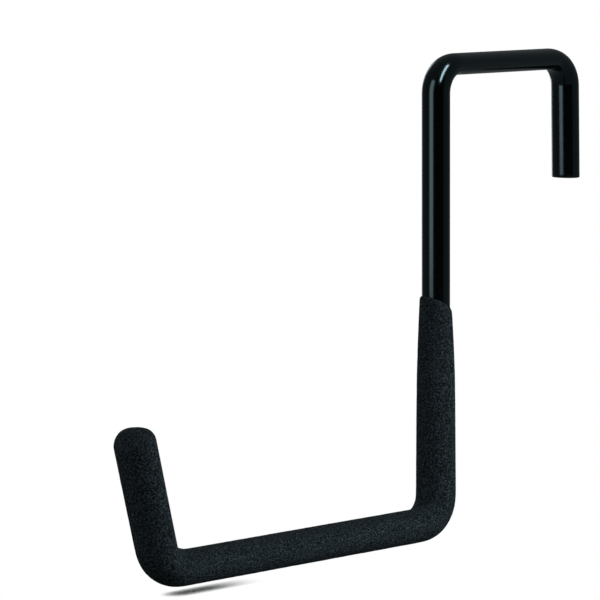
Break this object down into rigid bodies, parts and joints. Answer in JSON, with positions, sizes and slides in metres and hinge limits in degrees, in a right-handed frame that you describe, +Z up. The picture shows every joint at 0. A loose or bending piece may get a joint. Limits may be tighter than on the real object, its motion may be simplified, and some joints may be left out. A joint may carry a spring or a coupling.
{
  "type": "utility hook",
  "caption": "Utility hook of bent oval steel bar: a saddle hangs over a rail, a long upright drops to a level arm with a leaning tip, dipped in a soft textured coating.",
  "frame": {"origin": "middle of the saddle's underside, where the hook sits on its rail", "axes": "+X along the hook from the load arm towards the back leg, +Y across the hook, +Z up as it hangs"},
  "size_m": [0.2109, 0.0148, 0.1561],
  "materials": {
    "black_paint": "smooth gloss black paint on steel",
    "soft_coating": "matt charcoal black, finely pebbled dipped coating"
  },
  "bodies": {
    "root": {"steel_bar": "black_paint", "grip_coating": "soft_coating"}
  },
  "joints": []
}
